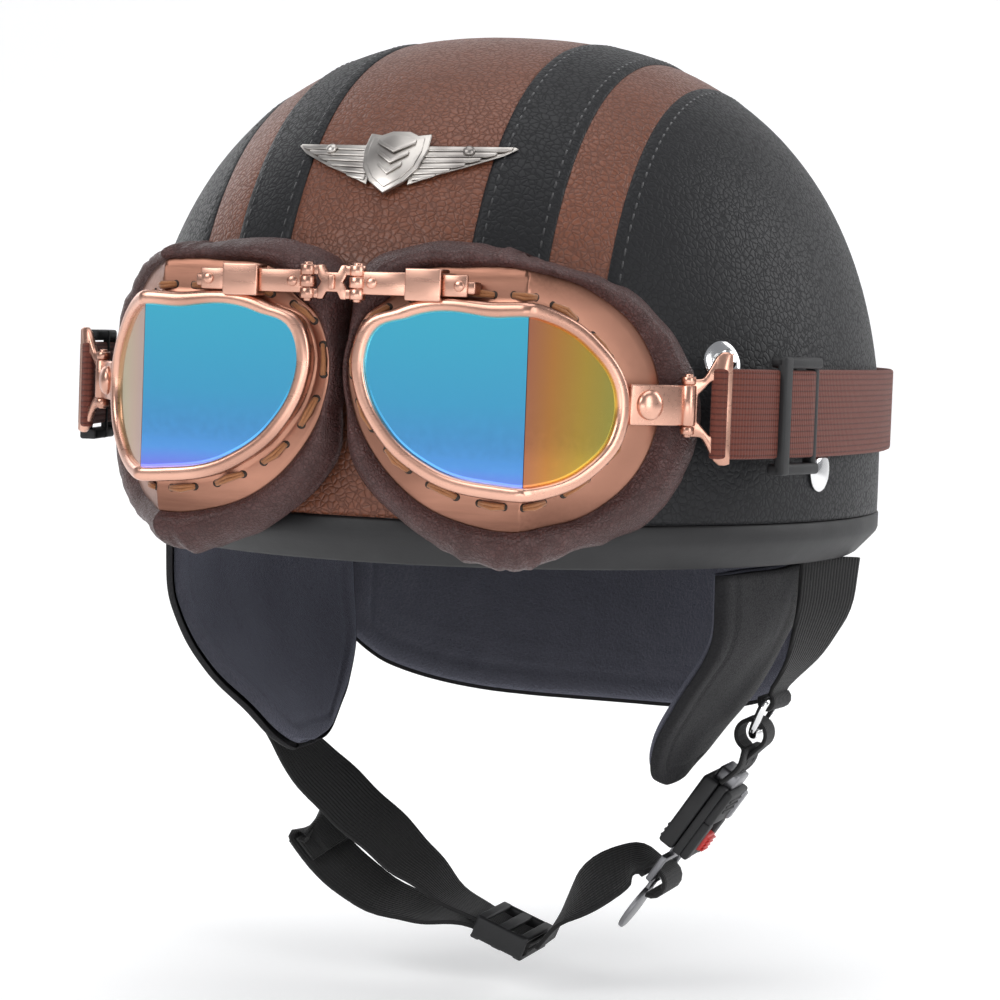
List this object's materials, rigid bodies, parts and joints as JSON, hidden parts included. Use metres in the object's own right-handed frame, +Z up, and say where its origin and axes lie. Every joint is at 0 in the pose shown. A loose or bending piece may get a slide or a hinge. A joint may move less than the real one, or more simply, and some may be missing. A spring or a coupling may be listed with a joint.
{
  "type": "motorcycle helmet",
  "caption": "Half-shell leather-covered motorcycle helmet with split-lens goggles, fleece ear flaps, neck curtain and a quick-release chin strap.",
  "frame": {"origin": "middle of the head opening, level with the lower edge of the shell, where the head enters", "axes": "+Z up towards the crown, -Y the way the wearer faces, +X the wearer's left"},
  "size_m": [0.2346, 0.2935, 0.2886],
  "materials": {
    "shell_plastic": "hard shell, painted black",
    "foam": "expanded polystyrene foam",
    "lining": "dark blue-grey fleece",
    "brown_leather": "grained brown leather",
    "black_leather": "grained black leather",
    "chrome": "bright plated",
    "black_plastic": "moulded black plastic",
    "pewter": "antique pewter",
    "copper": "brushed antique copper plate",
    "elastic": "ribbed elastic",
    "black_cloth": "smooth black cloth",
    "fleece": "dark blue-grey fleece",
    "webbing": "ribbed webbing",
    "red_plastic": "red button",
    "steel": "dark plated steel",
    "mirror_lens": "mirror-coated polycarbonate",
    "lace": "thin tan lace",
    "goggle_leather": "soft dark brown leather"
  },
  "bodies": {
    "helmet": {"badge_rivets": "pewter", "crown_lining": "lining", "d_rings": "chrome", "foam_liner": "foam", "headband_pad": "lining", "keeper_fixings": "black_leather", "leather_bands": "brown_leather", "leather_panel_centre": "brown_leather", "leather_sides": "black_leather", "leather_stripes": "black_leather", "neck_curtain_cover": "black_cloth", "neck_curtain_fleece": "fleece", "outer_shell": "shell_plastic", "rim_trim": "black_plastic", "side_straps": "webbing", "strap_anchor_rivets": "chrome", "visor_snaps": "chrome", "wing_badge": "pewter"},
    "goggles": {"bridge_link": "copper", "bridge_pins": "copper", "elastic_strap": "elastic"},
    "chin_strap": {"chin_webbing": "webbing", "strap_tail": "webbing", "buckle_housing": "black_plastic", "buckle_webbing": "webbing", "lower_webbing": "webbing"},
    "slider": {"strap_slider": "black_plastic"},
    "buckle_button": {"release_button": "red_plastic"},
    "tongue": {"buckle_tongue": "steel"},
    "tab": {"adjuster_tab": "steel"},
    "keeper": {"keeper_flap": "black_leather", "keeper_button": "chrome"},
    "goggle_half_left": {"lens_front_left": "mirror_lens", "lens_side_left": "mirror_lens", "lens_bezel_left": "copper", "lens_frame_left": "copper", "bridge_strip_left": "copper", "bridge_clasp_left": "copper", "frame_rivets_left": "copper", "lacing_left": "lace", "goggle_cushion_left": "goggle_leather", "strap_tab_left": "copper"},
    "buckle_left": {"strap_buckle_left": "copper"},
    "adjuster_left": {"strap_adjuster_left": "black_plastic"},
    "ear_flap_left": {"ear_flap_cover_left": "black_leather", "ear_flap_fleece_left": "fleece"},
    "goggle_half_right": {"lens_front_right": "mirror_lens", "lens_side_right": "mirror_lens", "lens_bezel_right": "copper", "lens_frame_right": "copper", "bridge_strip_right": "copper", "bridge_clasp_right": "copper", "frame_rivets_right": "copper", "lacing_right": "lace", "goggle_cushion_right": "goggle_leather", "strap_tab_right": "copper"},
    "buckle_right": {"strap_buckle_right": "copper"},
    "adjuster_right": {"strap_adjuster_right": "black_plastic"},
    "ear_flap_right": {"ear_flap_cover_right": "black_leather", "ear_flap_fleece_right": "fleece"}
  },
  "joints": [
    {"name": "goggles_lift", "type": "hinge", "parent": "helmet", "child": "goggles", "pos_m": [0, 0.1375, 0.0255], "axis": [-1, 0, 0], "range_deg": [0, 8]},
    {"name": "bridge_hinge_left", "type": "hinge", "parent": "goggles", "child": "goggle_half_left", "pos_m": [0.0072, -0.15, 0.0698], "axis": [0, 0, -1], "range_deg": [0, 5], "deforming": ["elastic_strap"]},
    {"name": "buckle_pivot_left", "type": "hinge", "parent": "goggle_half_left", "child": "buckle_left", "pos_m": [0.0885, -0.11, 0.04], "axis": [0, 0, 1], "range_deg": [-6, 6]},
    {"name": "adjuster_slide_left", "type": "hinge", "parent": "goggles", "child": "adjuster_left", "pos_m": [-0.1841, 0, 0.0375], "axis": [0, 0, 1], "range_deg": [-3, 3]},
    {"name": "ear_flap_flex_left", "type": "hinge", "parent": "helmet", "child": "ear_flap_left", "pos_m": [0.097, 0, -0.009], "axis": [0, 1, 0], "range_deg": [0, 8], "stiffness_Nm_per_rad": 0.6},
    {"name": "bridge_hinge_right", "type": "hinge", "parent": "goggles", "child": "goggle_half_right", "pos_m": [-0.0072, -0.15, 0.0698], "axis": [0, 0, 1], "range_deg": [0, 5], "deforming": ["elastic_strap"]},
    {"name": "buckle_pivot_right", "type": "hinge", "parent": "goggle_half_right", "child": "buckle_right", "pos_m": [-0.0885, -0.11, 0.04], "axis": [0, 0, -1], "range_deg": [-6, 6]},
    {"name": "adjuster_slide_right", "type": "hinge", "parent": "goggles", "child": "adjuster_right", "pos_m": [0.1841, 0, 0.0375], "axis": [0, 0, -1], "range_deg": [-3, 3]},
    {"name": "ear_flap_flex_right", "type": "hinge", "parent": "helmet", "child": "ear_flap_right", "pos_m": [-0.097, 0, -0.009], "axis": [0, -1, 0], "range_deg": [0, 8], "stiffness_Nm_per_rad": 0.6},
    {"name": "chin_strap_swing", "type": "hinge", "parent": "helmet", "child": "chin_strap", "pos_m": [0, 0, -0.0627], "axis": [-1, 0, 0], "range_deg": [-8, 6]},
    {"name": "tongue_release", "type": "slide", "parent": "chin_strap", "child": "tongue", "axis": [-0.5548, 0, -0.832], "range_m": [0, 0.022], "deforming": ["lower_webbing"]},
    {"name": "button_slide", "type": "slide", "parent": "chin_strap", "child": "buckle_button", "axis": [0.5548, 0, 0.832], "range_m": [0, 0.003], "stiffness_N_per_m": 300},
    {"name": "adjuster_tab_hinge", "type": "hinge", "parent": "tongue", "child": "tab", "pos_m": [0.05281, 0, -0.11103], "axis": [0, 1, 0], "range_deg": [-25, 25]},
    {"name": "slider_travel", "type": "slide", "parent": "chin_strap", "child": "slider", "axis": [-0.9397, 0, 0.342], "range_m": [0, 0.0005]},
    {"name": "keeper_flap_open", "type": "hinge", "parent": "helmet", "child": "keeper", "pos_m": [0, 0.1415, 0.059], "axis": [1, 0, 0], "range_deg": [0, 70]}
  ]
}
